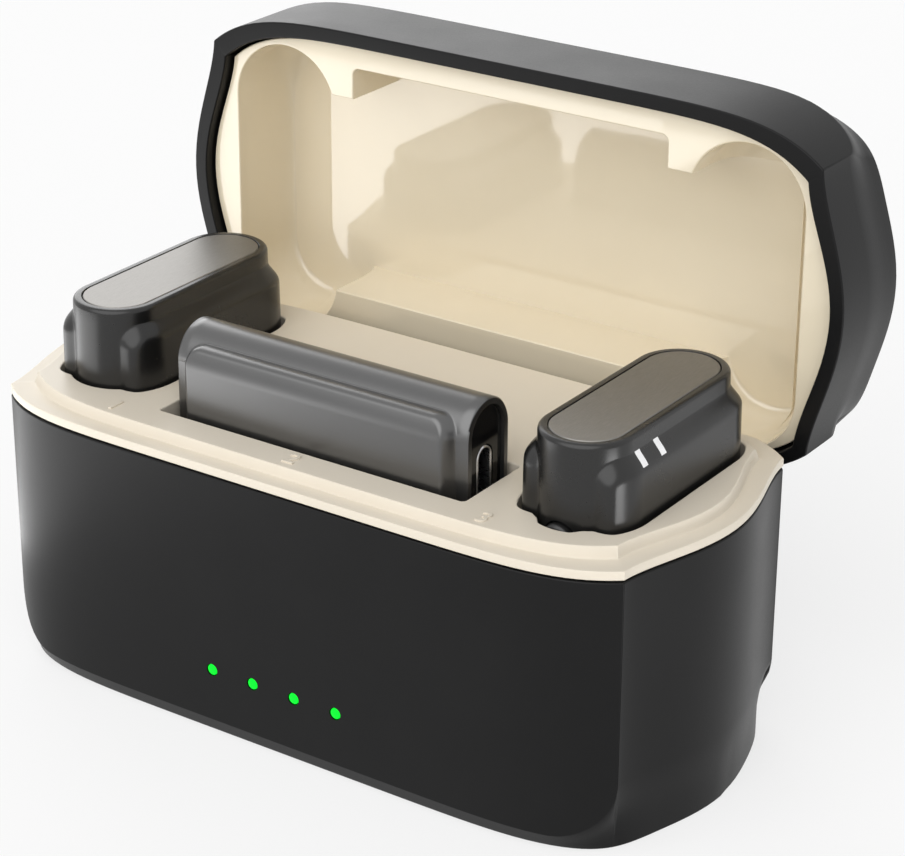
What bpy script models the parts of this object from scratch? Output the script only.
"""Charging case for a wireless microphone set, with two transmitters and one receiver.

Every separate piece is one closed body. Lengths are in metres, +Z is up, the front faces -Y,
and the origin is the centre of the flat underside that the case stands on.
"""
import math

import bmesh
import bpy
from mathutils import Vector

MM = 0.001

# Clearances
GAP = 0.3 * MM                 # between pieces that touch on the real case
HEADROOM = 1.0 * MM            # above the units under the closed lid
DECK_AIR = 0.4 * MM            # between the deck and the closed liner
TX_CLEARANCE = 0.4 * MM        # between a transmitter and its well
RX_END_CLEARANCE = 1.2 * MM
RX_FRONT_CLEARANCE = 0.7 * MM
RX_REAR_CLEARANCE = 1.1 * MM

# Transmitters
TX_HALF_WIDTH = 6.1 * MM       # rounded core, below its top edge
TX_HALF_LENGTH = 16.9 * MM
TX_HEIGHT = 22.0 * MM
TX_STAND = 10.6 * MM           # height above the deck
TX_SETBACK = 1.35 * MM         # centre behind the case's middle
TX_DRAFT = 0.3 * MM            # growth of the core towards the base
TX_EDGE = 0.6 * MM             # rounding of the top edge
TX_WALL = 1.2 * MM
TX_ROOF = 1.2 * MM
TX_PANEL = 1.5 * MM            # how far a side panel stands proud
TX_PANEL_DROP = 2.0 * MM       # from the top to the panel's upper edge
TX_PANEL_ROUND = 2.4 * MM      # height of the panel's rounded shoulder
PANEL_FULL_ANGLE = 24.0        # degrees round the end where a panel starts to fade
PANEL_END_ANGLE = 52.0
PLATE_RIM = 1.05 * MM          # from the core's side to the face plate's edge
PLATE_THICKNESS = 0.4 * MM
BAR_WIDTH = 1.5 * MM           # white indicator bars
BAR_HEIGHT = 1.8 * MM
BAR_DROP = 1.4 * MM
BAR_FIRST = 9.9 * MM           # from the transmitter's middle towards its button end
BAR_SPACING = 4.2 * MM
BAR_LINK = 1.0 * MM
BUTTON_RADIUS = 2.0 * MM
BUTTON_FLANGE = 0.5 * MM       # wider than the hole, inside the wall
BUTTON_PROUD = 0.8 * MM
BUTTON_DROP = 1.8 * MM         # centre below the deck
TX_COVER = 1.2 * MM
TX_CELL = (7.0 * MM, 22.0 * MM, 5.6 * MM)
TX_BOARD = (8.0 * MM, 26.0 * MM, 0.8 * MM)
CAPSULE_RADIUS = 2.0 * MM
CAPSULE_HEIGHT = 1.8 * MM
CAPSULE_OFFSET = 8.0 * MM
CONTACT = (5.4 * MM, 2.4 * MM)
CONTACT_FLANGE = 1.3 * MM

# Receiver
RX_HALF_LENGTH = 22.45 * MM
RX_RADIUS = 4.45 * MM          # arched top, also half the thickness
RX_HEIGHT = 21.7 * MM
RX_STAND = 10.7 * MM
RX_PANEL = 1.8 * MM
RX_PANEL_DROP = 1.8 * MM
RX_PANEL_ROUND = 2.0 * MM
RX_PANEL_END = 1.6 * MM        # bare strip between the panel and each end
RX_WALL = 0.9 * MM
RX_CAP = 1.5 * MM
RX_CAP_RECESS = 0.5 * MM
RX_BOARD_LENGTH = 26.0 * MM
RX_BOARD_HEIGHT = 13.0 * MM
RX_BOARD_THICKNESS = 0.8 * MM
PORT = (8.94 * MM, 3.26 * MM)  # outside of a reversible charging port
PORT_LENGTH = 6.5 * MM
PORT_WALL = 0.35 * MM
PLUG = (8.34 * MM, 2.4 * MM)
PLUG_REACH = 6.8 * MM
PLUG_FLANGE = 0.6 * MM
DOCK_DEPTH = 6.5 * MM
DOCK_WALL = 0.8 * MM

# Case
WALL = 1.6 * MM                # base shell
FLOOR = 1.8 * MM
BASE_HEIGHT = 37.0 * MM        # underside to the shell's upper edge
FRONT_BOW = 5.15 * MM          # bow of the front and rear panels
BOW_POWER = 7.8
SIDE_BULGE = 4.0 * MM
BULGE_POWER = 1.5
SIDE_LAND = 2.95 * MM          # deck outside the transmitter wells
END_LAND = 1.5 * MM            # deck in front of the wells, at the creases
WELL_WALL = 1.2 * MM
NOTCH_WALL = 0.7 * MM          # round a push button's notch
WELL_SPACING = 1.9 * MM        # between the walls of two wells
FOOT_CREASE = 2.2 * MM         # underside to the front panel's lower crease
FOOT_INSET = 1.5 * MM          # of the underside's front edge, behind the panel
CORNER_INSET = 0.8 * MM        # of the underside's and the lid top's corners, inside the creases
CORNER_SHARE = 0.55            # part of a corner's height that is stepped in
SIDE_EDGE = 0.3 * MM           # rounding of the lower side edge
SIDE_INSET = 0.2 * MM
CREASE_RADIUS = 7.6 * MM       # lower corners of the front panel
REAR_CREASE_SHARE = 0.55       # the rear panel's corner radius as a part of the front's
CREASE_FLARE = 5.0 * MM        # how far a corner reaches round the side
FLANGE_HEIGHT = 1.2 * MM
LEDGE_WIDTH = 2.3 * MM
DECK_STEP = 1.5 * MM
DECK_DRAFT = 0.3 * MM
DECK_PLATE = 1.4 * MM
SKIRT_DEPTH = 4.0 * MM
SKIRT_WALL = 1.2 * MM
LID_WALL = 2.0 * MM
LID_ROOF = 1.2 * MM
LINER_ROOF = 0.8 * MM
LID_CREASE_DROP = 2.7 * MM     # lid's top to its front panel's upper crease
LID_CREASE_RADIUS = 5.7 * MM
LID_TOP_INSET = 2.1 * MM
LID_OPEN_ANGLE = 90.0

# Hinge
BARREL_RADIUS = 3.3 * MM
HINGE_DROP = 2.4 * MM          # axis below the shell's upper edge
LUG_WIDTH = 4.3 * MM
LUG_SPACING = 1.6 * MM
PIN_RADIUS = 1.0 * MM

# Lid recesses
RECESS_CLEARANCE = 0.5 * MM
RECESS_FRONT = 4.1 * MM        # ahead of a transmitter
RECESS_REAR = 1.9 * MM
RECESS_FILLET = 5.5 * MM
MAIN_RECESS_END = 2.25 * MM    # beyond the receiver's ends
MAIN_RECESS_FRONT = 2.4 * MM
MAIN_RECESS_REAR = 19.8 * MM   # behind the receiver
MAIN_RECESS_ROUND = 1.0 * MM
TONGUE_LENGTH = 4.4 * MM       # stubs between the recesses

# Inside the base
MAGNET = (10.0 * MM, 1.6 * MM, 4.0 * MM)
MAGNET_X = 15.0 * MM
MAGNET_FLOOR = 1.0 * MM         # liner under a lid magnet
MAGNET_BACKING = 0.7 * MM
CELL = (56.0 * MM, 34.0 * MM, 8.0 * MM)
BOARD_THICKNESS = 1.2 * MM
BOARD_DEPTH = 35.0 * MM
POST_RADIUS = 2.3 * MM
POST_Y = 12.0 * MM
SCREW_RADIUS = 0.8 * MM
SCREW_LENGTH = 5.0 * MM
SCREW_HEAD_RADIUS = 1.6 * MM
SCREW_HEAD = 1.0 * MM
LIGHT_COUNT = 4
LIGHT_SPACING = 6.55 * MM
LIGHT_CENTRE = -0.5 * MM
LIGHT_HEIGHT = 9.45 * MM
LIGHT_RADIUS = 0.75 * MM
LIGHT_FLANGE = 0.7 * MM
LIGHT_LENGTH = 3.2 * MM

# Facets
FRONT_STEPS = 32
SIDE_STEPS = 20
ARC_STEPS = 18
ROUND_STEPS = 24
SMALL_STEPS = 16
SHOULDER_STEPS = 4
FILLET_STEPS = 6

# Places that follow from the sizes above
TX_REACH = TX_HALF_WIDTH + TX_DRAFT + TX_PANEL
TX_WELL_HALF_WIDTH = TX_REACH + TX_CLEARANCE
TX_END = TX_HALF_LENGTH + TX_DRAFT
TX_X = RX_HALF_LENGTH + RX_END_CLEARANCE + 2 * WELL_WALL + WELL_SPACING + TX_WELL_HALF_WIDTH
CREASE_HALF_WIDTH = TX_X + TX_WELL_HALF_WIDTH + SIDE_LAND
CREASE_HALF_DEPTH = TX_END + TX_CLEARANCE + END_LAND
REAR_FACE = CREASE_HALF_DEPTH + FRONT_BOW
FLANGE_Z = BASE_HEIGHT + GAP
LEDGE_Z = FLANGE_Z + FLANGE_HEIGHT
DECK_Z = LEDGE_Z + DECK_STEP
RIM_Z = LEDGE_Z + GAP
SKIRT_INSET = WALL + GAP
HOLLOW_INSET = SKIRT_INSET + SKIRT_WALL
TX_BASE_Z = DECK_Z + TX_STAND - TX_HEIGHT
RX_BASE_Z = DECK_Z + RX_STAND - RX_HEIGHT
MAGNET_Y = -REAR_FACE + HOLLOW_INSET + GAP + MAGNET[1] / 2
RX_WELL_FRONT = MAGNET_Y + MAGNET[1] / 2 + GAP + MAGNET_BACKING + WELL_WALL
RX_Y = RX_WELL_FRONT + RX_FRONT_CLEARANCE + RX_PANEL + RX_RADIUS
RX_WELL_REAR = RX_Y + RX_RADIUS + RX_REAR_CLEARANCE
RX_WELL_HALF_LENGTH = RX_HALF_LENGTH + RX_END_CLEARANCE
RX_FLOOR_Z = RX_BASE_Z - GAP
LINER_Z = DECK_Z + DECK_AIR
RECESS_Z = DECK_Z + max(TX_STAND, RX_STAND) + HEADROOM
LINER_TOP = RECESS_Z + LINER_ROOF
LID_INNER = LINER_TOP + GAP
LID_TOP = LID_INNER + LID_ROOF
HINGE_Y = REAR_FACE - BARREL_RADIUS
HINGE_Z = BASE_HEIGHT - HINGE_DROP
LUG_INNER = TX_X - TX_WELL_HALF_WIDTH - WELL_WALL - LUG_SPACING - LUG_WIDTH
BARREL_HALF_LENGTH = LUG_INNER - GAP
SWING_RADIUS = math.hypot(BARREL_RADIUS - LID_WALL, RIM_Z - HINGE_Z) - GAP
BOARD_Z = FLOOR + GAP + CELL[2] + GAP
POST_X = CELL[0] / 2 + GAP + POST_RADIUS
BUTTON_Z = TX_HEIGHT - TX_STAND - BUTTON_DROP
OVERLAP = 0.5 * MM             # how far joined or cutting shapes run into each other


def remove_old_objects():
    for old in list(bpy.data.objects):
        bpy.data.objects.remove(old, do_unlink=True)


def material(name, colour, roughness, metallic=0.0):
    made = bpy.data.materials.new(name)
    made.use_nodes = True
    shader = made.node_tree.nodes["Principled BSDF"]
    shader.inputs["Base Color"].default_value = (*colour, 1.0)
    shader.inputs["Roughness"].default_value = roughness
    shader.inputs["Metallic"].default_value = metallic
    return made


def loft(rings, cyclic=False):
    """A closed mesh through rings of equally many points, capped at both ends or joined end to end."""
    shape = bmesh.new()
    loops = [[shape.verts.new(point) for point in ring] for ring in rings]
    pairs = list(zip(loops, loops[1:]))
    if cyclic:
        pairs.append((loops[-1], loops[0]))
    else:
        shape.faces.new(reversed(loops[0]))
        shape.faces.new(loops[-1])
    for low, high in pairs:
        for k in range(len(low)):
            shape.faces.new((low[k - 1], low[k], high[k], high[k - 1]))
    bmesh.ops.recalc_face_normals(shape, faces=shape.faces)
    mesh = bpy.data.meshes.new("loft")
    shape.to_mesh(mesh)
    shape.free()
    return mesh


def joined(meshes):
    """One mesh that holds several separate shapes, for use as a cutter."""
    shape = bmesh.new()
    for mesh in meshes:
        shape.from_mesh(mesh)
        bpy.data.meshes.remove(mesh)
    mesh = bpy.data.meshes.new("joined")
    shape.to_mesh(mesh)
    shape.free()
    return mesh


def box(low, high):
    rings = []
    for z in (low[2], high[2]):
        corners = [(low[0], low[1]), (high[0], low[1]), (high[0], high[1]), (low[0], high[1])]
        rings.append([(x, y, z) for x, y in corners])
    return loft(rings)


def centred_box(centre, size):
    half = Vector(size) / 2
    return box(Vector(centre) - half, Vector(centre) + half)


def prism(outline, low, high):
    return loft([[(x, y, z) for x, y in outline] for z in (low, high)])


def circle(radius, steps):
    turns = [2 * math.pi * k / steps for k in range(steps)]
    return [(radius * math.cos(a), radius * math.sin(a)) for a in turns]


def turned(axis, profile, steps, centre=(0, 0, 0)):
    """A round piece along an axis, from its profile of (place along the axis, radius)."""
    order = {"x": (2, 0, 1), "y": (0, 2, 1), "z": (0, 1, 2)}[axis]
    rings = []
    for place, radius in profile:
        ring = [(x, y, place) for x, y in circle(radius, steps)]
        rings.append([Vector([point[i] for i in order]) + Vector(centre) for point in ring])
    return loft(rings)


def slot_outline(length, width, inset=0.0):
    """A shape with straight sides along the first axis and round ends."""
    radius = width / 2 - inset
    run = length / 2 - width / 2
    points = []
    for k in range(SMALL_STEPS + 1):
        a = -math.pi / 2 + math.pi * k / SMALL_STEPS
        points.append((run + radius * math.cos(a), radius * math.sin(a)))
    return points + [(-x, -y) for x, y in points]


def rounded_outline(low, high, radius):
    """A rectangle with round corners."""
    corners = [
        (high[0], low[1], -90),
        (high[0], high[1], 0),
        (low[0], high[1], 90),
        (low[0], low[1], 180),
    ]
    points = []
    for x, y, start in corners:
        cx = x - math.copysign(radius, x - (low[0] + high[0]) / 2)
        cy = y - math.copysign(radius, y - (low[1] + high[1]) / 2)
        for k in range(SHOULDER_STEPS + 1):
            a = math.radians(start + 90 * k / SHOULDER_STEPS)
            points.append((cx + radius * math.cos(a), cy + radius * math.sin(a)))
    return points


def place(name, mesh, finish, parent=None, location=(0, 0, 0), smooth=True):
    """A named piece with its finish."""
    piece = bpy.data.objects.new(name, mesh)
    bpy.context.scene.collection.objects.link(piece)
    mesh.name = name
    mesh.materials.clear()
    mesh.materials.append(finish)
    piece.location = location
    piece.parent = parent
    if smooth:
        mesh.shade_smooth()
        mesh.set_sharp_from_angle(angle=math.radians(32))
    return piece


def carve(mesh, operation, *tools):
    """The mesh after it is joined with, cut by, or kept inside each tool shape in turn."""
    scene = bpy.context.scene
    work = bpy.data.objects.new("work", mesh)
    scene.collection.objects.link(work)
    helpers = []
    for tool in tools:
        helper = bpy.data.objects.new("tool", tool)
        helper.hide_render = True
        helper.display_type = "WIRE"
        scene.collection.objects.link(helper)
        step = work.modifiers.new("carve", "BOOLEAN")
        step.operation = operation
        step.solver = "EXACT"
        step.object = helper
        helpers.append(helper)
    bpy.context.view_layer.update()
    finished = work.evaluated_get(bpy.context.evaluated_depsgraph_get())
    made = bpy.data.meshes.new_from_object(finished)
    for helper in [work, *helpers]:
        bpy.data.objects.remove(helper, do_unlink=True)
    for used in [mesh, *tools]:
        bpy.data.meshes.remove(used)
    return made


def anchor(name, location, turn=(0, 0, 0)):
    """An empty that carries the pieces of one moving body."""
    made = bpy.data.objects.new(name, None)
    bpy.context.scene.collection.objects.link(made)
    made.location = location
    made.rotation_euler = turn
    return made


def case_outline(side_inset=0.0, front_inset=None, swell_more=0.0):
    """The case seen from above: bowed front and rear panels, and sides that swell between the creases."""
    front_inset = side_inset if front_inset is None else front_inset
    width = CREASE_HALF_WIDTH - side_inset
    depth = CREASE_HALF_DEPTH - front_inset
    points = []
    for k in range(FRONT_STEPS):
        share = math.sin(math.pi / 2 * (2 * k / FRONT_STEPS - 1))
        points.append((width * share, -depth - FRONT_BOW * (1 - abs(share) ** BOW_POWER)))
    for k in range(SIDE_STEPS):
        share = math.sin(math.pi / 2 * (2 * k / SIDE_STEPS - 1))
        swell = max(0.0, math.cos(math.pi / 2 * share)) ** BULGE_POWER
        points.append((width + (SIDE_BULGE + swell_more) * swell, depth * share))
    return points + [(-x, -y) for x, y in points]


def case_ring(z, inset=0.0):
    return [(x, y, z) for x, y in case_outline(inset)]


def crease_rise(k, x, y, radius, crease):
    """How far from the flat end the crease runs: level on a panel, up round its corner, low on a side."""
    on_panel = k % (FRONT_STEPS + SIDE_STEPS) < FRONT_STEPS
    if on_panel:
        past = abs(x) - (CREASE_HALF_WIDTH - radius)
        past = min(max(past, 0.0), radius)
        return crease + radius - math.sqrt(radius ** 2 - past ** 2)
    away = CREASE_HALF_DEPTH - abs(y)
    fade = max(0.0, 1 - away / CREASE_FLARE)
    return SIDE_EDGE + (crease + radius - SIDE_EDGE) * fade


def crease_rings(end_z, direction, radius, crease, front_inset):
    """The flat end of a shell, the stepped corners and the creases; direction points into the shell."""
    outer = case_outline()
    end = case_outline(CORNER_INSET, front_inset, CORNER_INSET - SIDE_INSET)
    rear_radius = radius * REAR_CREASE_SHARE
    rear_crease = crease + radius - rear_radius
    rings = [[], [], []]
    for k, (x, y) in enumerate(outer):
        bend, level = (rear_radius, rear_crease) if y > 0 else (radius, crease)
        rise = crease_rise(k, x, y, bend, level)
        cornered = min(max((rise - level) / bend, 0.0), 1.0)
        near = 1 - CORNER_SHARE + CORNER_SHARE * cornered
        end_x, end_y = end[k]
        step_z = end_z + direction * rise * CORNER_SHARE
        rings[0].append((end_x, end_y, end_z))
        rings[1].append((x + (end_x - x) * near, y + (end_y - y) * near, step_z))
        rings[2].append((x, y, end_z + direction * rise))
    return rings


def base_shell(finish):
    shell = loft([
        *crease_rings(0.0, 1, CREASE_RADIUS, FOOT_CREASE, FOOT_INSET),
        case_ring(BASE_HEIGHT),
        case_ring(BASE_HEIGHT, WALL),
        case_ring(FLOOR, WALL),
    ])
    posts = []
    holes = []
    post_top = BOARD_Z - GAP
    for x in (-POST_X, POST_X):
        for y in (-POST_Y, POST_Y):
            posts.append(turned("z", [(FLOOR - OVERLAP, POST_RADIUS), (post_top, POST_RADIUS)],
                                SMALL_STEPS, (x, y, 0)))
            bottom = BOARD_Z + BOARD_THICKNESS - SCREW_LENGTH
            hole = SCREW_RADIUS + GAP
            holes.append(turned("z", [(bottom, hole), (post_top + OVERLAP, hole)], SMALL_STEPS, (x, y, 0)))
    shell = carve(shell, "UNION", joined(posts))
    for x in light_places():
        holes.append(turned("y", [(-REAR_FACE - OVERLAP, LIGHT_RADIUS + GAP),
                                  (-REAR_FACE + 2 * WALL, LIGHT_RADIUS + GAP)],
                            SMALL_STEPS, (x, 0, LIGHT_HEIGHT)))
    notch = box((-LUG_INNER, HINGE_Y, HINGE_Z - BARREL_RADIUS - GAP),
                (LUG_INNER, REAR_FACE + OVERLAP, BASE_HEIGHT + OVERLAP))
    shell = carve(shell, "DIFFERENCE", joined(holes), notch, socket_opening())
    return place("base_shell", shell, finish)


def light_places():
    first = LIGHT_CENTRE - LIGHT_SPACING * (LIGHT_COUNT - 1) / 2
    return [first + LIGHT_SPACING * k for k in range(LIGHT_COUNT)]


def socket_z():
    return BOARD_Z + BOARD_THICKNESS + GAP + PORT[1] / 2


def socket_opening():
    outline = slot_outline(PORT[0] + 2 * GAP, PORT[1] + 2 * GAP)
    rear = REAR_FACE + OVERLAP
    return loft([[(x, y, socket_z() + z) for x, z in outline] for y in (REAR_FACE - 2 * WALL, rear)])


def cup(outer, inner, back, floor, mouth, point):
    """A thin metal cup, hollow from floor to mouth; point places an outline along its axis."""
    def at(outline, along):
        return [point(u, v, along) for u, v in outline]
    return loft([at(outer, back), at(outer, mouth), at(inner, mouth), at(inner, floor)])


def charge_socket(finish):
    mouth = REAR_FACE - GAP
    back = mouth - PORT_LENGTH

    def point(u, v, along):
        return (u, along, socket_z() + v)
    inner = slot_outline(*PORT, inset=PORT_WALL)
    mesh = cup(slot_outline(*PORT), inner, back, back + PORT_WALL, mouth, point)
    return place("charge_socket", mesh, finish)


def tx_outline(grow, panel):
    """A transmitter seen from above: a rounded core with a swelling panel along each side."""
    radius = TX_HALF_WIDTH + grow
    run = TX_HALF_LENGTH - TX_HALF_WIDTH
    points = []
    for k in range(ARC_STEPS + 1):
        angle = 180 * k / ARC_STEPS
        off_side = min(angle, 180 - angle)
        fade = (PANEL_END_ANGLE - off_side) / (PANEL_END_ANGLE - PANEL_FULL_ANGLE)
        fade = min(max(fade, 0.0), 1.0)
        reach = radius + panel * fade * fade * (3 - 2 * fade)
        a = math.radians(angle)
        points.append((reach * math.cos(a), run + reach * math.sin(a)))
    return points + [(-x, -y) for x, y in points]


def tx_ring(z, grow, panel):
    return [(x, y, z) for x, y in tx_outline(grow, panel)]


def tx_draft(z):
    return TX_DRAFT * (1 - z / TX_HEIGHT)


def tx_outer_rings():
    """From the underside to the flat rim round the face plate."""
    rings = [tx_ring(0.0, TX_DRAFT - TX_EDGE, TX_PANEL), tx_ring(TX_EDGE, tx_draft(TX_EDGE), TX_PANEL)]
    shoulder = TX_HEIGHT - TX_PANEL_DROP - TX_PANEL_ROUND
    for k in range(SHOULDER_STEPS + 1):
        a = math.pi / 2 * k / SHOULDER_STEPS
        z = shoulder + TX_PANEL_ROUND * math.sin(a)
        rings.append(tx_ring(z, tx_draft(z), TX_PANEL * math.cos(a)))
    edge = TX_HEIGHT - TX_EDGE
    rings.append(tx_ring(edge, tx_draft(edge), 0.0))
    rings.append(tx_ring(TX_HEIGHT - TX_EDGE / 4, -TX_EDGE / 4, 0.0))
    rings.append(tx_ring(TX_HEIGHT, -TX_EDGE, 0.0))
    return rings


def bar_boxes(spread):
    """The two indicator bars as boxes through the side wall, widened by spread."""
    boxes = []
    for k in range(2):
        y = -BAR_FIRST + BAR_SPACING * k
        low = (TX_HALF_WIDTH - TX_WALL - BAR_LINK / 2 - spread, y - BAR_WIDTH / 2 - spread,
               TX_HEIGHT - BAR_DROP - BAR_HEIGHT - spread)
        high = (TX_REACH + TX_PANEL, y + BAR_WIDTH / 2 + spread, TX_HEIGHT - BAR_DROP + spread)
        boxes.append(box(low, high))
    return boxes


def plate_recess():
    return PLATE_THICKNESS + GAP


def tx_ceiling():
    return TX_HEIGHT - plate_recess() - TX_ROOF


def tx_housing(name, finish, parent):
    rings = [tx_ring(tx_ceiling(), -TX_WALL, 0.0), tx_ring(0.0, -TX_WALL, 0.0)]
    rings += tx_outer_rings()
    rings.append(tx_ring(TX_HEIGHT, GAP - PLATE_RIM, 0.0))
    rings.append(tx_ring(TX_HEIGHT - plate_recess(), GAP - PLATE_RIM, 0.0))
    radius = BUTTON_RADIUS + GAP
    hole = turned("y", [(-TX_END - OVERLAP, radius), (-TX_HALF_LENGTH + 2 * TX_WALL, radius)],
                  ROUND_STEPS, (0, 0, BUTTON_Z))
    mesh = carve(loft(rings), "DIFFERENCE", hole, *bar_boxes(GAP))
    return place(name, mesh, finish, parent)


def tx_light_guide(name, finish, parent):
    """Two bars flush with the shoulder, joined by a link inside."""
    inner = TX_HALF_WIDTH - TX_WALL - BAR_LINK
    middle = -BAR_FIRST + BAR_SPACING / 2
    low_z = TX_HEIGHT - BAR_DROP - BAR_HEIGHT
    link = box((inner - GAP, middle - BAR_SPACING / 2 - BAR_WIDTH / 2, low_z),
               (inner - GAP + BAR_LINK, middle + BAR_SPACING / 2 + BAR_WIDTH / 2, tx_ceiling() - GAP))
    bars = carve(joined(bar_boxes(0.0)), "INTERSECT", loft(tx_outer_rings()))
    return place(name, carve(bars, "UNION", link), finish, parent, smooth=False)


def tx_button(name, finish, parent):
    flange = BUTTON_RADIUS + BUTTON_FLANGE
    hollow = TX_HALF_WIDTH - TX_WALL
    wall_face = -(TX_HALF_LENGTH - TX_HALF_WIDTH + math.sqrt(hollow ** 2 - flange ** 2))
    outer = -(TX_END + BUTTON_PROUD)
    mesh = turned("y", [
        (outer, BUTTON_RADIUS - BUTTON_PROUD / 2),
        (outer + BUTTON_PROUD / 2, BUTTON_RADIUS),
        (wall_face + GAP, BUTTON_RADIUS),
        (wall_face + GAP, flange),
        (wall_face + GAP + BUTTON_FLANGE, flange),
    ], ROUND_STEPS)
    return place(name, mesh, finish, parent, (0, 0, BUTTON_Z))


def transmitter(side, location, turn, finishes):
    """All pieces of one transmitter; its button end faces -Y before it is turned."""
    unit = anchor(f"tx_{side}_unit", location, (0, 0, turn))
    name = f"tx_{side}_"
    tx_housing(name + "housing", finishes["charcoal"], unit)
    plate = prism(tx_outline(-PLATE_RIM, 0.0), TX_HEIGHT - PLATE_THICKNESS, TX_HEIGHT)
    place(name + "face_plate", plate, finishes["brushed"], unit)
    tx_light_guide(name + "light_guide", finishes["white"], unit)
    tx_button(name + "button", finishes["charcoal"], unit)
    hole_size = (CONTACT[0] + 2 * GAP, CONTACT[1] + 2 * GAP, 2 * TX_COVER)
    hole = centred_box((0, 0, TX_COVER / 2), hole_size)
    cover = carve(prism(tx_outline(-TX_WALL - GAP, 0.0), 0.0, TX_COVER), "DIFFERENCE", hole)
    place(name + "base_cover", cover, finishes["charcoal"], unit)
    contact = centred_box((0, 0, TX_COVER / 2), (*CONTACT, TX_COVER))
    place(name + "contact", contact, finishes["gold"], unit, smooth=False)
    cell_z = TX_COVER + GAP
    cell = centred_box((0, 0, cell_z + TX_CELL[2] / 2), TX_CELL)
    place(name + "battery", cell, finishes["foil"], unit, smooth=False)
    board_z = cell_z + TX_CELL[2] + GAP
    board = centred_box((0, 0, board_z + TX_BOARD[2] / 2), TX_BOARD)
    place(name + "board", board, finishes["board"], unit, smooth=False)
    capsule_z = board_z + TX_BOARD[2] + GAP
    capsule = turned("z", [(0, CAPSULE_RADIUS), (CAPSULE_HEIGHT, CAPSULE_RADIUS)], SMALL_STEPS)
    place(name + "mic_capsule", capsule, finishes["steel"], unit, (0, CAPSULE_OFFSET, capsule_z))


def rx_section(offset, x=None):
    """The receiver from its end, as (y, z): flat sides under an arch, and a front panel where x is given."""
    radius = RX_RADIUS - offset
    arch_z = RX_HEIGHT - RX_RADIUS
    fade = 0.0
    if x is not None:
        fade = (RX_HALF_LENGTH - RX_PANEL_END - abs(x)) / RX_PANEL_ROUND
        fade = math.sqrt(1 - (1 - min(max(fade, 0.0), 1.0)) ** 2)
    points = [(0.0, -1.0, -radius, offset)]
    points += [(math.sin(a), math.cos(a), 0.0, arch_z)
               for a in (math.radians(-90 + 180 * k / ARC_STEPS) for k in range(ARC_STEPS + 1))]
    section = []
    for k, (ny, nz, shift, z) in enumerate(points):
        y = shift + radius * ny
        height = z if k == 0 else z + radius * nz
        drop = RX_HEIGHT - height
        rise = min(max((drop - RX_PANEL_DROP) / RX_PANEL_ROUND, 0.0), 1.0)
        swell = RX_PANEL * fade * math.sqrt(1 - (1 - rise) ** 2) if y < 0 else 0.0
        out = (-1.0, 0.0) if k == 0 else (ny, nz)
        section.append((y + swell * out[0], height + swell * out[1]))
    section.append((radius, offset))
    return section


def rx_ring(x, offset, swelling=False):
    return [(x, y, z) for y, z in rx_section(offset, x if swelling else None)]


def rx_housing(finish, parent):
    """A tube with an arched top, open at both ends, with a hole for the plug below."""
    full = RX_HALF_LENGTH - RX_PANEL_END - RX_PANEL_ROUND
    stations = [full + RX_PANEL_ROUND * share for share in (0.0, 0.4, 0.75, 0.95, 1.0)]
    stations.append(RX_HALF_LENGTH)
    outer = [rx_ring(-x, 0.0, True) for x in reversed(stations)]
    outer += [rx_ring(x, 0.0, True) for x in stations]
    inner = [rx_ring(x, RX_WALL) for x in (RX_HALF_LENGTH, -RX_HALF_LENGTH)]
    hole = prism(slot_outline(PLUG[0] + 2 * GAP, PLUG[1] + 2 * GAP), -OVERLAP, 2 * RX_WALL)
    mesh = carve(loft(outer + inner, cyclic=True), "DIFFERENCE", hole)
    return place("rx_housing", mesh, finish, parent)


def rx_end_cap(name, side, finish, parent):
    """A glossy plate just inside one end; the right one is cut for the charging port."""
    outer = side * (RX_HALF_LENGTH - RX_CAP_RECESS)
    inner = outer - side * RX_CAP
    mesh = loft([rx_ring(x, RX_WALL + GAP) for x in (inner, outer)])
    if side > 0:
        outline = slot_outline(PORT[0] + 2 * GAP, PORT[1] + 2 * GAP)
        ends = (inner - OVERLAP, outer + OVERLAP)
        hole = loft([[(x, y, port_z() + z) for z, y in outline] for x in ends])
        mesh = carve(mesh, "DIFFERENCE", hole)
    return place(name, mesh, finish, parent)


def port_z():
    return RX_HEIGHT / 2


def rx_port(finish, parent):
    mouth = RX_HALF_LENGTH - RX_CAP_RECESS
    back = mouth - PORT_LENGTH

    def point(u, v, along):
        return (along, v, port_z() + u)
    inner = slot_outline(*PORT, inset=PORT_WALL)
    mesh = cup(slot_outline(*PORT), inner, back, back + PORT_WALL, mouth, point)
    return place("rx_port", mesh, finish, parent)


def rx_plug(finish, parent):
    """A metal plug that points down, hollow at its tip, held by a flange inside the housing."""
    flange_z = RX_WALL + GAP
    wide = slot_outline(PLUG[0] + 2 * PLUG_FLANGE, PLUG[1] + 2 * PLUG_FLANGE)
    outer = slot_outline(*PLUG)
    inner = slot_outline(*PLUG, inset=PORT_WALL)
    levels = [
        (wide, flange_z + PLUG_FLANGE),
        (wide, flange_z),
        (outer, flange_z),
        (outer, -PLUG_REACH),
        (inner, -PLUG_REACH),
        (inner, 0.0),
    ]
    mesh = loft([[(x, y, z) for x, y in outline] for outline, z in levels])
    return place("rx_plug", mesh, finish, parent)


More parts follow.
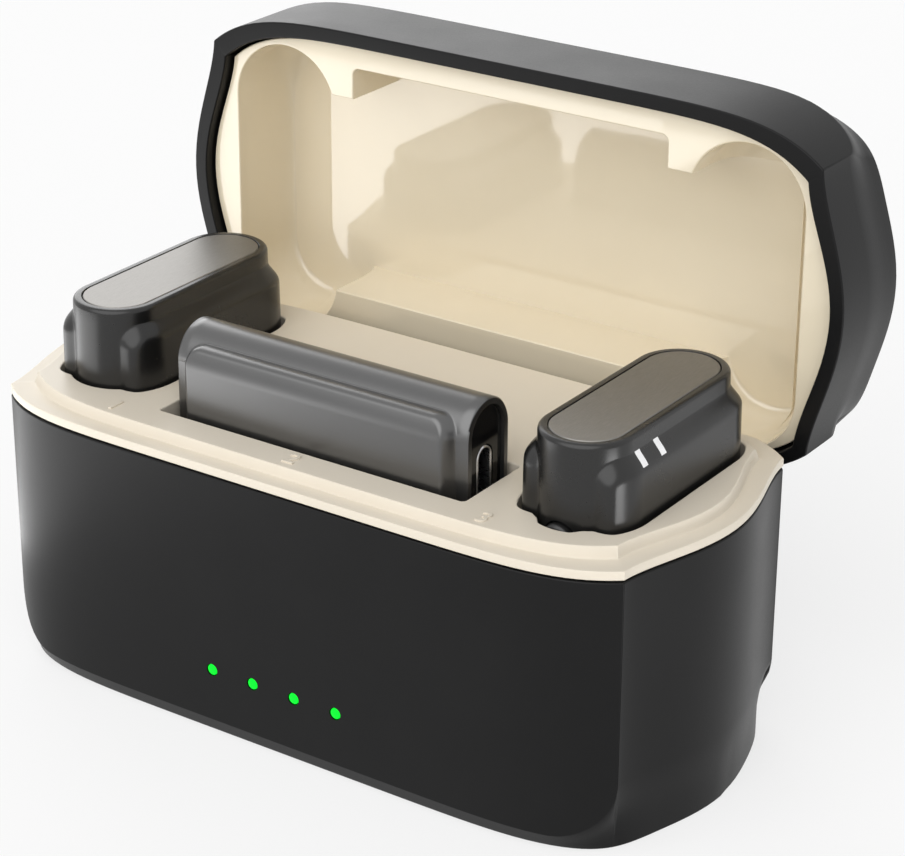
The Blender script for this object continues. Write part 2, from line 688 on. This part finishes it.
def receiver(finishes):
    unit = anchor("rx_unit", (0, RX_Y, RX_BASE_Z))
    rx_housing(finishes["charcoal"], unit)
    rx_end_cap("rx_end_cap_left", -1, finishes["gloss"], unit)
    rx_end_cap("rx_end_cap_right", 1, finishes["gloss"], unit)
    rx_port(finishes["steel"], unit)
    rx_plug(finishes["steel"], unit)
    board_y = RX_RADIUS - RX_WALL - GAP - RX_BOARD_THICKNESS
    low = (-RX_BOARD_LENGTH / 2, board_y, RX_WALL + GAP)
    high = (RX_BOARD_LENGTH / 2, board_y + RX_BOARD_THICKNESS, RX_WALL + GAP + RX_BOARD_HEIGHT)
    place("rx_board", box(low, high), finishes["board"], unit, smooth=False)


def limited_ring(z, inset):
    """A ring of the tray whose rear edge keeps clear of the swinging lid."""
    limit = HINGE_Y + math.sqrt(max(SWING_RADIUS ** 2 - (z - HINGE_Z) ** 2, 0.0))
    return [(x, min(y, limit), z) for x, y in case_outline(inset)]


def tx_well_outline(sign, wall):
    outline = tx_outline(TX_DRAFT + TX_CLEARANCE + wall, TX_PANEL)
    return [(sign * TX_X + x, TX_SETBACK + y) for x, y in outline]


def rx_well_outline(wall):
    low = (-RX_WELL_HALF_LENGTH - wall, RX_WELL_FRONT - wall)
    high = (RX_WELL_HALF_LENGTH + wall, RX_WELL_REAR + wall)
    return rounded_outline(low, high, WELL_WALL / 2 + wall)


def button_notch(sign):
    """Room in a well's wall for the push button, as (y from, y to); the left unit faces the other way."""
    end = TX_END + TX_CLEARANCE
    reach = TX_END + BUTTON_PROUD + TX_CLEARANCE
    towards = -sign
    return sorted((TX_SETBACK + towards * (end - WELL_WALL), TX_SETBACK + towards * reach))


def deck_tray(finish):
    skirt_z = BASE_HEIGHT - SKIRT_DEPTH
    deck = loft([
        case_ring(DECK_Z - DECK_PLATE, HOLLOW_INSET),
        case_ring(skirt_z, HOLLOW_INSET),
        case_ring(skirt_z, SKIRT_INSET),
        case_ring(FLANGE_Z, SKIRT_INSET),
        limited_ring(FLANGE_Z, 0.0),
        limited_ring(LEDGE_Z, 0.0),
        case_ring(LEDGE_Z, LEDGE_WIDTH),
        case_ring(DECK_Z, LEDGE_WIDTH + DECK_DRAFT),
    ])
    plate_z = DECK_Z - DECK_PLATE / 2
    floor_z = TX_BASE_Z - GAP
    notch_half = BUTTON_RADIUS + TX_CLEARANCE
    notch_z = TX_BASE_Z + BUTTON_Z - notch_half
    walls = [prism(rx_well_outline(WELL_WALL), RX_FLOOR_Z - WELL_WALL, plate_z)]
    wells = [prism(rx_well_outline(0.0), RX_FLOOR_Z, DECK_Z + OVERLAP)]
    for sign in (-1, 1):
        walls.append(prism(tx_well_outline(sign, WELL_WALL), floor_z - WELL_WALL, plate_z))
        near, far = button_notch(sign)
        left = sign * TX_X - notch_half
        right = sign * TX_X + notch_half
        walls.append(box((left - NOTCH_WALL, near - NOTCH_WALL, notch_z - NOTCH_WALL),
                         (right + NOTCH_WALL, far + NOTCH_WALL, plate_z)))
        wells.append(prism(tx_well_outline(sign, 0.0), floor_z, DECK_Z + OVERLAP))
        wells.append(box((left, near, notch_z), (right, far, DECK_Z + OVERLAP)))
        contact_room = (CONTACT[0] + 2 * GAP, CONTACT[1] + 2 * GAP, 4 * WELL_WALL)
        wells.append(centred_box((sign * TX_X, TX_SETBACK, floor_z), contact_room))
        lug_x = sorted((sign * LUG_INNER, sign * (LUG_INNER + LUG_WIDTH)))
        walls.append(box((lug_x[0], HINGE_Y - BARREL_RADIUS, HINGE_Z - BARREL_RADIUS),
                         (lug_x[1], REAR_FACE - WALL - GAP, LEDGE_Z - FLANGE_HEIGHT / 2)))
    plug_hole = slot_outline(PLUG[0] + 2 * GAP, PLUG[1] + 2 * GAP)
    plug_hole = [(x, RX_Y + y) for x, y in plug_hole]
    wells.append(prism(plug_hole, RX_FLOOR_Z - 2 * WELL_WALL, RX_FLOOR_Z + OVERLAP))
    reach = LUG_INNER + LUG_WIDTH + OVERLAP
    pin_room = PIN_RADIUS + GAP
    pin_hole = turned("x", [(-reach, pin_room), (reach, pin_room)], SMALL_STEPS, (0, HINGE_Y, HINGE_Z))
    barrel_room = box((-LUG_INNER, HINGE_Y - BARREL_RADIUS - GAP, skirt_z - OVERLAP),
                      (LUG_INNER, REAR_FACE + OVERLAP, HINGE_Z + BARREL_RADIUS + GAP))
    tab_room = box((-LUG_INNER, REAR_FACE - LID_WALL - GAP, skirt_z - OVERLAP),
                   (LUG_INNER, REAR_FACE + OVERLAP, LEDGE_Z + OVERLAP))
    deck = carve(deck, "UNION", *walls)
    deck = carve(deck, "DIFFERENCE", *wells, pin_hole, barrel_room, tab_room)
    return place("deck_tray", deck, finish)


def lid_shell(finish, parent):
    shell = loft([
        case_ring(LID_INNER, LID_WALL),
        case_ring(RIM_Z, LID_WALL),
        case_ring(RIM_Z),
        *reversed(crease_rings(LID_TOP, -1, LID_CREASE_RADIUS, LID_CREASE_DROP, LID_TOP_INSET)),
    ])
    tab = box((-BARREL_HALF_LENGTH, REAR_FACE - LID_WALL, HINGE_Z),
              (BARREL_HALF_LENGTH, REAR_FACE - GAP / 6, RIM_Z + OVERLAP))
    barrel = turned("x", [(-BARREL_HALF_LENGTH, BARREL_RADIUS), (BARREL_HALF_LENGTH, BARREL_RADIUS)],
                    ROUND_STEPS, (0, HINGE_Y, HINGE_Z))
    pin_room = PIN_RADIUS + GAP
    bore = turned("x", [(-LUG_INNER, pin_room), (LUG_INNER, pin_room)], SMALL_STEPS, (0, HINGE_Y, HINGE_Z))
    shell = carve(shell, "UNION", carve(tab, "UNION", barrel))
    shell = carve(shell, "DIFFERENCE", bore)
    return hang("lid_shell", shell, finish, parent)


def hang(name, mesh, finish, parent, smooth=True):
    """A piece drawn in place with the lid closed, hung on the hinge."""
    for vertex in mesh.vertices:
        vertex.co -= Vector((0, HINGE_Y, HINGE_Z))
    return place(name, mesh, finish, parent, smooth=smooth)


def recess_shape(x, front, rear, half_width):
    """The hollow over one transmitter: rounded ends, and a wide fillet all round its ceiling."""
    levels = [(LINER_Z - OVERLAP, 0.0)]
    for k in range(FILLET_STEPS + 1):
        a = math.pi / 2 * k / FILLET_STEPS
        inset = RECESS_FILLET * (1 - math.cos(a))
        levels.append((RECESS_Z - RECESS_FILLET * (1 - math.sin(a)), inset))
    rings = []
    for z, inset in levels:
        outline = slot_outline(rear - front, 2 * half_width, inset)
        rings.append([(x + across, (front + rear) / 2 + along, z) for along, across in outline])
    return loft(rings)


def lid_liner(finish, parent):
    """The moulded lining: one hollow over all three units, stubs at the front and a block at the rear."""
    outer = LID_WALL + GAP
    liner = loft([case_ring(LINER_Z, outer), case_ring(LINER_TOP, outer)])
    half_width = TX_REACH + RECESS_CLEARANCE
    front = TX_SETBACK - TX_END - RECESS_FRONT
    rear = TX_SETBACK + TX_END + RECESS_REAR
    below = LINER_Z - OVERLAP
    main_half = RX_HALF_LENGTH + MAIN_RECESS_END
    main_front = RX_Y - RX_RADIUS - RX_PANEL - MAIN_RECESS_FRONT
    main_rear = RX_Y + RX_RADIUS + MAIN_RECESS_REAR
    main = rounded_outline((-main_half, main_front), (main_half, main_rear), MAIN_RECESS_ROUND)
    cuts = [prism(main, below, RECESS_Z)]
    cuts.append(box((-TX_X, main_front + TONGUE_LENGTH, below), (TX_X, main_rear, RECESS_Z)))
    pocket = (MAGNET[0] + 2 * GAP, MAGNET[1] + 2 * GAP, LINER_TOP - LINER_Z)
    for sign in (-1, 1):
        cuts.append(recess_shape(sign * TX_X, front, rear, half_width))
        pocket_z = LINER_Z + MAGNET_FLOOR + pocket[2] / 2
        cuts.append(centred_box((sign * MAGNET_X, MAGNET_Y, pocket_z), pocket))
    return hang("lid_liner", carve(liner, "DIFFERENCE", *cuts), finish, parent)


def lid_magnet(name, sign, finish, parent):
    floor = LINER_Z + MAGNET_FLOOR + GAP
    block = centred_box((sign * MAGNET_X, MAGNET_Y, floor + MAGNET[2] / 2), MAGNET)
    return hang(name, block, finish, parent, smooth=False)


def lid(finishes):
    hinge = anchor("lid_hinge", (0, HINGE_Y, HINGE_Z), (-math.radians(LID_OPEN_ANGLE), 0, 0))
    lid_shell(finishes["black"], hinge)
    lid_liner(finishes["cream"], hinge)
    lid_magnet("lid_magnet_left", -1, finishes["magnet"], hinge)
    lid_magnet("lid_magnet_right", 1, finishes["magnet"], hinge)


def hinge_pin(finish):
    reach = LUG_INNER + LUG_WIDTH - GAP
    mesh = turned("x", [(-reach, PIN_RADIUS), (reach, PIN_RADIUS)], SMALL_STEPS)
    return place("hinge_pin", mesh, finish, None, (0, HINGE_Y, HINGE_Z))


def status_lights(finish):
    """Light guides through the front wall, each with a flange behind it."""
    face = -REAR_FACE
    for k, x in enumerate(light_places()):
        mesh = turned("y", [
            (0.0, LIGHT_RADIUS),
            (WALL + GAP, LIGHT_RADIUS),
            (WALL + GAP, LIGHT_RADIUS + LIGHT_FLANGE),
            (WALL + GAP + LIGHT_FLANGE, LIGHT_RADIUS + LIGHT_FLANGE),
            (WALL + GAP + LIGHT_FLANGE, LIGHT_RADIUS),
            (LIGHT_LENGTH, LIGHT_RADIUS),
        ], SMALL_STEPS)
        place(f"status_light_{k + 1}", mesh, finish, None, (x, face, LIGHT_HEIGHT))


def case_electronics(finishes):
    cell = centred_box((0, 0, FLOOR + GAP + CELL[2] / 2), CELL)
    place("case_battery", cell, finishes["foil"], smooth=False)
    board = box((-POST_X - POST_RADIUS, -BOARD_DEPTH / 2, BOARD_Z),
                (POST_X + POST_RADIUS, BOARD_DEPTH / 2, BOARD_Z + BOARD_THICKNESS))
    holes = []
    spots = [(x, y) for x in (-POST_X, POST_X) for y in (-POST_Y, POST_Y)]
    for x, y in spots:
        ends = (BOARD_Z - OVERLAP, BOARD_Z + BOARD_THICKNESS + OVERLAP)
        holes.append(turned("z", [(z, SCREW_RADIUS + GAP) for z in ends], SMALL_STEPS, (x, y, 0)))
    place("case_board", carve(board, "DIFFERENCE", joined(holes)), finishes["board"], smooth=False)
    for k, (x, y) in enumerate(spots):
        screw = turned("z", [
            (GAP - SCREW_LENGTH, SCREW_RADIUS),
            (GAP, SCREW_RADIUS),
            (GAP, SCREW_HEAD_RADIUS),
            (GAP + SCREW_HEAD, SCREW_HEAD_RADIUS),
        ], SMALL_STEPS)
        place(f"board_screw_{k + 1}", screw, finishes["steel"], None, (x, y, BOARD_Z + BOARD_THICKNESS))
    charge_socket(finishes["steel"])


def base_magnets(finish):
    top = DECK_Z - DECK_PLATE - GAP
    for name, sign in (("left", -1), ("right", 1)):
        block = centred_box((sign * MAGNET_X, MAGNET_Y, top - MAGNET[2] / 2), MAGNET)
        place(f"base_magnet_{name}", block, finish, smooth=False)


def tx_dock(name, sign, finish):
    """A contact block that reaches up through the floor of a transmitter's well."""
    floor_z = TX_BASE_Z - GAP
    wide = (CONTACT[0] + 2 * CONTACT_FLANGE, CONTACT[1] + 2 * CONTACT_FLANGE)
    shelf = -WELL_WALL - GAP
    levels = [(wide, shelf - CONTACT_FLANGE), (wide, shelf), (CONTACT, shelf), (CONTACT, 0.0)]
    corners = ((-1, -1), (1, -1), (1, 1), (-1, 1))
    rings = []
    for (length, width), z in levels:
        rings.append([(x * length / 2, y * width / 2, z) for x, y in corners])
    spot = (sign * TX_X, TX_SETBACK, floor_z)
    return place(name, loft(rings), finish, None, spot, smooth=False)


def rx_dock_socket(finish):
    """The socket under the receiver's well that its plug reaches into."""
    mouth = RX_FLOOR_Z - WELL_WALL - GAP
    inner = slot_outline(PLUG[0] + 2 * GAP, PLUG[1] + 2 * GAP)
    outer = slot_outline(PLUG[0] + 2 * GAP + 2 * DOCK_WALL, PLUG[1] + 2 * GAP + 2 * DOCK_WALL)

    def point(u, v, along):
        return (u, RX_Y + v, along)
    mesh = cup(outer, inner, mouth - DOCK_DEPTH, mouth - DOCK_DEPTH + DOCK_WALL, mouth, point)
    return place("rx_dock_socket", mesh, finish)


def finishes():
    return {
        "black": material("black_shell", (0.018, 0.018, 0.019), 0.42),
        "cream": material("cream_moulding", (0.74, 0.66, 0.53), 0.3),
        "charcoal": material("charcoal_housing", (0.035, 0.034, 0.033), 0.38),
        "gloss": material("gloss_black", (0.006, 0.006, 0.007), 0.12),
        "brushed": material("brushed_plate", (0.26, 0.25, 0.24), 0.34, 0.9),
        "white": material("white_light_guide", (0.8, 0.8, 0.8), 0.35),
        "green": material("green_light", (0.0, 0.75, 0.06), 0.3),
        "steel": material("steel", (0.55, 0.55, 0.56), 0.3, 1.0),
        "gold": material("gold_contact", (0.83, 0.6, 0.22), 0.3, 1.0),
        "board": material("circuit_board", (0.02, 0.13, 0.06), 0.5),
        "foil": material("battery_foil", (0.36, 0.37, 0.39), 0.45, 0.6),
        "magnet": material("magnet_plating", (0.5, 0.5, 0.52), 0.25, 1.0),
    }


def build():
    remove_old_objects()
    made = finishes()
    base_shell(made["black"])
    case_electronics(made)
    status_lights(made["green"])
    deck_tray(made["cream"])
    base_magnets(made["magnet"])
    tx_dock("tx_left_dock", -1, made["gold"])
    tx_dock("tx_right_dock", 1, made["gold"])
    rx_dock_socket(made["steel"])
    hinge_pin(made["steel"])
    lid(made)
    transmitter("left", (-TX_X, TX_SETBACK, TX_BASE_Z), math.pi, made)
    transmitter("right", (TX_X, TX_SETBACK, TX_BASE_Z), 0.0, made)
    receiver(made)


build()
